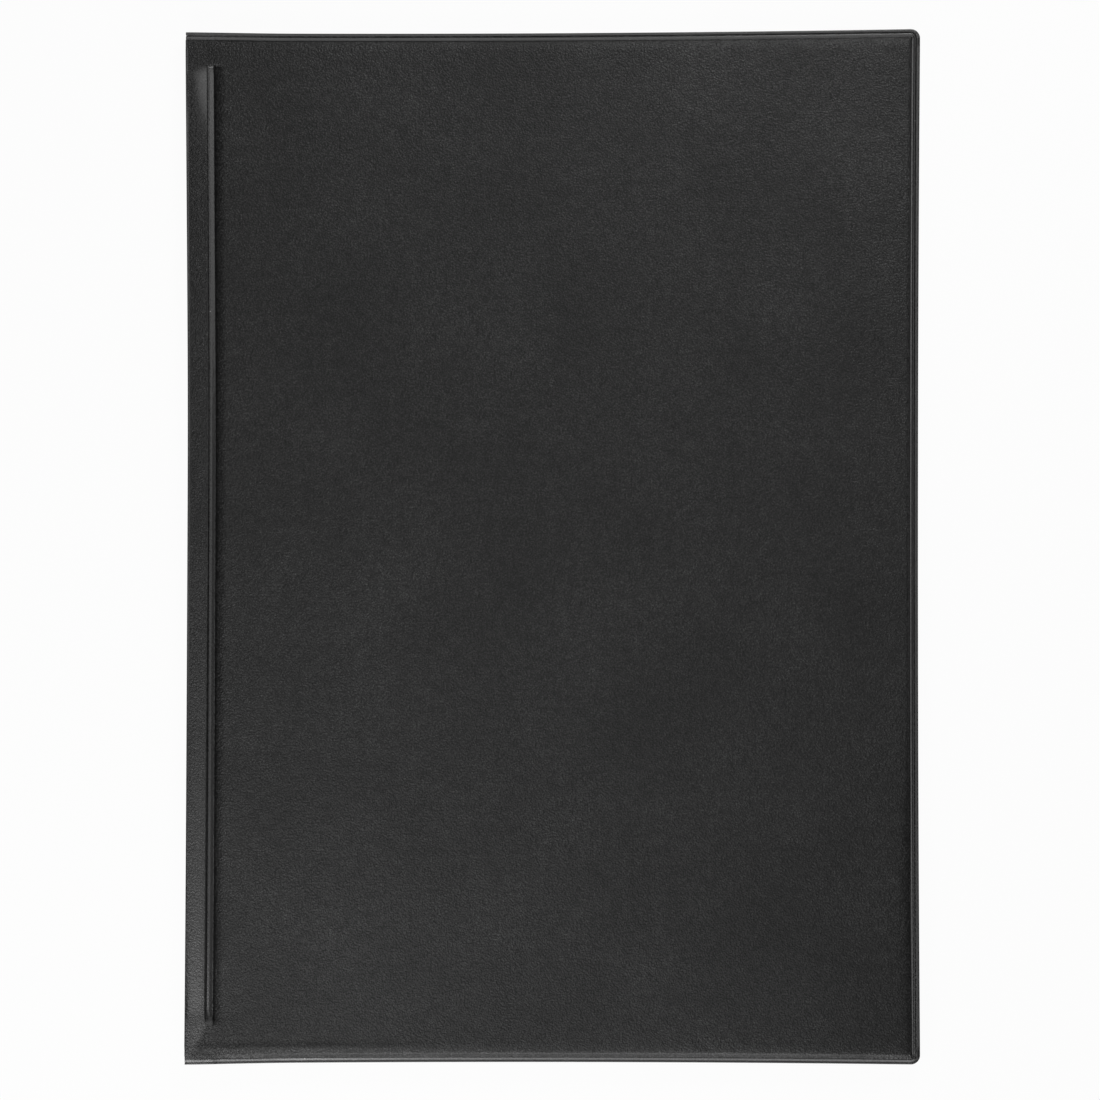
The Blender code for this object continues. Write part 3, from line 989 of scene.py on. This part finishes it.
# The linings: smooth sheets welded to the skin at the edges and the hinge
inside = {
    "spacing": 3.0,
    "foldSpacing": 0.45,
    "edgeLines": ((0, 2.4, 13), (2.7, 5.1, 9)),  # closer lines over the edge welds and beside them
    "legLines": 5,
    "stripLines": 14,
    "boardLines": (10, 16, 5),
    "grooveDepth": 0.05,
    "grooveHalf": 0.2,
    "hingeRise": 0.28,
    "hingeEdge": 0.4,
    "hingeFade": 0.6,
    "endRun": 6.0,  # from the end welds down to the flat, in the leg and under the board
    "boardRun": 2.6,
    "boardStart": 7.0,
    "boardFade": 3.0,
    "boardLead": 0.65,
    "weldEdge": 0.1,
    "weldFade": 0.2,
    "hingeGloss": 0.7,
}
liningBend = cover["liningBend"]
liningFore = lengthOf(cover["width"], liningBend)
liningSplit = lengthOf(cover["split"], liningBend)
liningEdgeAt = np.concatenate([np.linspace(*lines) for lines in inside["edgeLines"]])
liningFixed = np.concatenate([liningEdgeAt - halfHeight, halfHeight - liningEdgeAt])
liningAlong, _ = lineSet(liningFixed, -halfHeight, halfHeight, inside["spacing"])


def liningDepth(reach, offset, endGap):
    # depth of the outer face: on the welds at the ends, flat under the board, near the spine in the leg
    spread = np.maximum(sealDepth(reach), weld["depth"] * eased(reach / hinge["setback"]))
    underBoard = eased((reach - inside["boardStart"]) / inside["boardFade"])
    start = cover["cornerRadius"] - inside["boardLead"] * underBoard
    run = inside["endRun"] - (inside["endRun"] - inside["boardRun"]) * underBoard
    share = eased((endGap - start) / run)
    depth = sealDepth(reach) * (1 - share) + spread * share + cover["skin"] + cover["touch"]
    for place, _, _ in weld["fore"]["grooves"]:
        depth = depth + inside["grooveDepth"] * bell(offset, place, inside["grooveHalf"])
    inStrip = eased((inHinge(reach) + inside["hingeEdge"]) / inside["hingeFade"])
    return depth - share * inside["hingeRise"] * inStrip


def liningPoints(lengths, side):
    length, height = np.meshgrid(lengths, liningAlong, indexing="ij")
    ringFore, ringEnd = liningFore - length, halfHeight - np.abs(height)
    foreGap, endGap = roundCorner(ringFore, ringEnd)
    offset = np.minimum(ringFore, ringEnd)
    reach = reachOf(length, liningBend)
    depth = liningDepth(reach, offset, ringEnd)
    placeLength, placeHeight = liningFore - foreGap, np.copysign(halfHeight - endGap, height)
    points = drawIn(wrapSheet(placeLength, placeHeight, depth, side, liningBend))
    atWeld = eased((weld["fore"]["width"] + inside["weldEdge"] - offset) / inside["weldFade"])
    inStrip = eased((inHinge(reach) + inside["weldEdge"]) / inside["weldFade"])
    pressedAndSheen = np.maximum(atWeld, inside["hingeGloss"] * inStrip)
    flat = np.stack([side * placeLength, placeHeight, np.ones_like(depth)], axis=-1)
    return points, {"pressedAndSheen": pressedAndSheen, "flatSheet": flat}


def makeLining(name, side, node, body):
    beside = 0.5  # of the strip of the hinge weld
    strip = hinge["setback"] + np.linspace(-beside, hinge["width"] + beside, inside["stripLines"])
    legSide = np.linspace(cover["split"], hinge["setback"] - beside, inside["legLines"])
    reaches = np.concatenate([legSide, strip, np.linspace(*inside["boardLines"])])
    fixed = np.concatenate([lengthOf(reaches, liningBend), liningFore - liningEdgeAt])
    lengths, _ = lineSet(fixed, liningSplit, liningFore, inside["spacing"])
    points, layers = liningPoints(lengths, side)
    piece = addSheet(name, side, points, cover["lining"], layers, liningVinyl, "smooth_vinyl")
    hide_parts(node)
    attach(piece, body)


def makeLiningFold(name, side, node):
    _, halfWall, foldEnd = foldPlan(liningBend)
    foldLines = np.linspace(halfWall, foldEnd, hinge["lines"])
    lengths, _ = lineSet(foldLines, 0, liningSplit, inside["foldSpacing"])
    points, layers = liningPoints(lengths, side)
    piece = addSheet(name, side, points, cover["lining"], layers, liningVinyl, "smooth_vinyl")
    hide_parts(node)
    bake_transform(piece)


makeLining("front_lining_sheet", 1, "front_lining", "front_cover")
makeLining("back_lining_sheet", -1, "back_lining", "back_cover")
makeLiningFold("spine_lining_front", 1, "spine_lining")
makeLiningFold("spine_lining_back", -1, "spine_lining")

# The clear pockets, open at the head, with a thumb notch
pocket = {
    "inset": 0.3,
    "room": 0.25,
    "ramp": 1.5,
    "headGap": 14.0,
    "notch": 11.0,
    "notchRun": 40.0,
    "spacing": 4.0,
    "borderLines": 12,
    "rampLines": (0.2, 1, 5),
    "notchLines": 33,
    "waveDepth": 0.08,
    "waveSize": 45.0,
}


def makePocket(name, side, node, body):
    start, end = lengthOf(hinge["setback"]), foreLength - pocket["inset"]
    foot, head = pocket["inset"] - halfHeight, halfHeight - pocket["headGap"]
    border = cover["cornerRadius"]
    rampAt = pocket["ramp"] * np.linspace(*pocket["rampLines"])
    ringAt = np.concatenate([np.linspace(pocket["inset"], border, pocket["borderLines"]), border + rampAt])
    middle = lengthOf((hinge["setback"] + cover["width"]) / 2)
    notchAt = middle + pocket["notch"] * np.cos(np.linspace(0, math.pi, pocket["notchLines"]))
    stripAt = np.linspace(0, hinge["width"], hinge["lines"])
    hingeAt = lengthOf(hinge["setback"] + np.concatenate([stripAt, hinge["width"] + rampAt]))
    fixed = np.concatenate([hingeAt, notchAt, foreLength - ringAt])
    lengths, _ = lineSet(fixed, start, end, pocket["spacing"])
    headLines = head - np.array([pocket["notchRun"], 0.0])
    heights, _ = lineSet(np.concatenate([ringAt - halfHeight, headLines]), foot, head, pocket["spacing"])
    length, height = np.meshgrid(lengths, heights, indexing="ij")
    ringFore, ringFoot = foreLength - length, height + halfHeight
    foreGap, footGap = roundCorner(ringFore, ringFoot)
    reach = reachOf(length)
    fromHinge = reach - hinge["setback"] - hinge["width"]
    offset = np.minimum(ringFore, ringFoot)
    lift = eased((offset - border) / pocket["ramp"]) * eased(fromHinge / pocket["ramp"])
    size = pocket["waveSize"]
    waves = ripple(length / size, height / size, seeds["film"]) * pocket["waveDepth"]
    surface = liningDepth(reach, offset, halfHeight - np.abs(height))
    depth = surface + cover["lining"] + cover["touch"] + lift * (pocket["room"] + waves)
    dip = np.sqrt(np.maximum(pocket["notch"] ** 2 - (length - middle) ** 2, 0))
    share = eased((height - head + pocket["notchRun"]) / pocket["notchRun"])
    placeLength, placeHeight = foreLength - foreGap, footGap - halfHeight - dip * share
    points = drawIn(wrapSheet(placeLength, placeHeight, depth, side))
    flat = np.stack([side * placeLength, placeHeight, np.full_like(depth, 2.0)], axis=-1)
    piece = addSheet(name, side, points, cover["film"], {"flatSheet": flat}, clearFilm, "clear_film")
    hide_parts(node)
    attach(piece, body)


makePocket("front_pocket_film", 1, "front_pocket", "front_cover")
makePocket("back_pocket_film", -1, "back_pocket", "back_cover")
print("pieces made", flush=True)

# Floor, light and camera
studio = {
    "floor": 20.0,
    "paper": (0.8, 0.8, 0.8, 1),
    "floorGlow": 0.95,
    "side": 0.03,  # level of the sky at the left and right
    "bandHalf": 0.10,
    "bandEdge": 0.20,
    "horizon": (-0.05, 0.25),  # heights between which the band comes up
    # level of the band of sky from the foot, over the top, to the head
    "band": (
        (-1.0, 2.5),
        (-0.75, 0.8),
        (-0.5, 0.3),
        (-0.36, 0.3),
        (-0.28, 2.4),
        (-0.18, 1.35),
        (0.04, 1.2),
        (0.12, 2.2),
        (0.22, 2.1),
        (0.36, 0.3),
        (0.5, 0.5),
        (0.9, 0.5),
    ),
}


def makeFloor():
    half = studio["floor"] / 2
    mesh = bpy.data.meshes.new("floor")
    corners = [(-half, -half, 0), (half, -half, 0), (half, half, 0), (-half, half, 0)]
    mesh.from_pydata(corners, [], [(0, 1, 2, 3)])
    material, tree = newTree("floor_paper")
    path = addNode(tree, "ShaderNodeLightPath")
    seen = mathNode(tree, "MAXIMUM", path.outputs["Is Camera Ray"], path.outputs["Is Glossy Ray"])
    seen = mathNode(tree, "MAXIMUM", seen, path.outputs["Is Transmission Ray"])
    paper = addNode(tree, "ShaderNodeBsdfDiffuse", {"Color": studio["paper"]}).outputs[0]
    glow = addNode(tree, "ShaderNodeEmission", {"Color": (1, 1, 1, 1), "Strength": 1.0}).outputs[0]
    share = mathNode(tree, "MULTIPLY", seen, studio["floorGlow"])
    closeTree(tree, addNode(tree, "ShaderNodeMixShader", {0: share, 1: paper, 2: glow}).outputs[0])
    floor = bpy.data.objects.new("floor", mesh)
    mesh.materials.append(material)
    bpy.context.scene.collection.objects.link(floor)


def makeWorld():
    world = bpy.data.worlds.new("studio")
    world.use_nodes = True
    tree = world.node_tree
    tree.nodes.clear()
    direction = addNode(tree, "ShaderNodeTexCoord").outputs["Generated"]
    parts = addNode(tree, "ShaderNodeSeparateXYZ", {"Vector": direction})
    aside = mathNode(tree, "ABSOLUTE", parts.outputs["X"])
    edges = studio["bandHalf"], studio["bandEdge"]
    ramp = mapRange(tree, aside, *edges, 1, 0, interpolation_type="SMOOTHSTEP")
    above = mapRange(tree, parts.outputs["Z"], *studio["horizon"], 0, 1)
    bandTop = max(level for _, level in studio["band"])
    ramped = addNode(tree, "ShaderNodeValToRGB", {"Fac": mapRange(tree, parts.outputs["Y"], -1, 1, 0, 1)})
    stops = ramped.color_ramp.elements
    while len(stops) < len(studio["band"]):
        stops.new(0.5)
    for stop, (along, share) in zip(stops, studio["band"]):
        stop.position = (along + 1) / 2
        stop.color = (share / bandTop, share / bandTop, share / bandTop, 1)
    level = mathNode(tree, "MULTIPLY", mathNode(tree, "MULTIPLY", ramp, above), ramped.outputs["Color"])
    level = mathNode(tree, "MULTIPLY", level, bandTop)
    level = mathNode(tree, "ADD", level, studio["side"])
    path = addNode(tree, "ShaderNodeLightPath")
    seen = mathNode(tree, "MAXIMUM", path.outputs["Is Camera Ray"], path.outputs["Is Transmission Ray"])
    level = mixValue(tree, seen, level, 1.0)  # glossy rays keep the soft sky that lights the vinyl
    back = addNode(tree, "ShaderNodeBackground", {"Color": (1, 1, 1, 1), "Strength": level}).outputs[0]
    addNode(tree, "ShaderNodeOutputWorld", {"Surface": back})
    bpy.context.scene.world = world


lamps = {
    "footBox": {"place": (-0.19, -0.28, 0.36), "size": (0.2, 0.2), "watts": 0.60},
    "footStrip": {"place": (-0.05, -0.65, 0.14), "size": (0.5, 0.15), "watts": 1.9},
    "headBox": {"place": (0.17, 0.47, 0.42), "size": (0.2, 0.2), "watts": 1.56},
}


def makeLamp(name, lamp):
    data = bpy.data.lights.new(name, "AREA")
    data.shape = "RECTANGLE"
    data.size, data.size_y = lamp["size"]
    data.energy = lamp["watts"]
    light = bpy.data.objects.new(name, data)
    light.location = lamp["place"]
    light.rotation_euler = Vector(lamp["place"]).to_track_quat("Z", "Y").to_euler()
    light.visible_camera = False
    bpy.context.scene.collection.objects.link(light)


# The camera looks straight down, in metres
view = {
    "frame": 0.3442,
    "distance": 1.15,
    "centre": (-0.00085, -0.0008),
    "height": 0.0055,
    "sensor": 36.0,
    "clip": (0.1, 20),
}


def makeCamera():
    data = bpy.data.cameras.new("camera")
    data.sensor_width = view["sensor"]
    data.lens = view["sensor"] * view["distance"] / view["frame"]
    data.clip_start, data.clip_end = view["clip"]
    camera = bpy.data.objects.new("camera", data)
    camera.location = (*view["centre"], view["height"] + view["distance"])
    bpy.context.scene.collection.objects.link(camera)
    bpy.context.scene.camera = camera


makeFloor()
makeWorld()
for lampName, lamp in lamps.items():
    makeLamp(lampName, lamp)
makeCamera()
bpy.context.scene.view_settings.view_transform = "Standard"
print("stage made", flush=True)
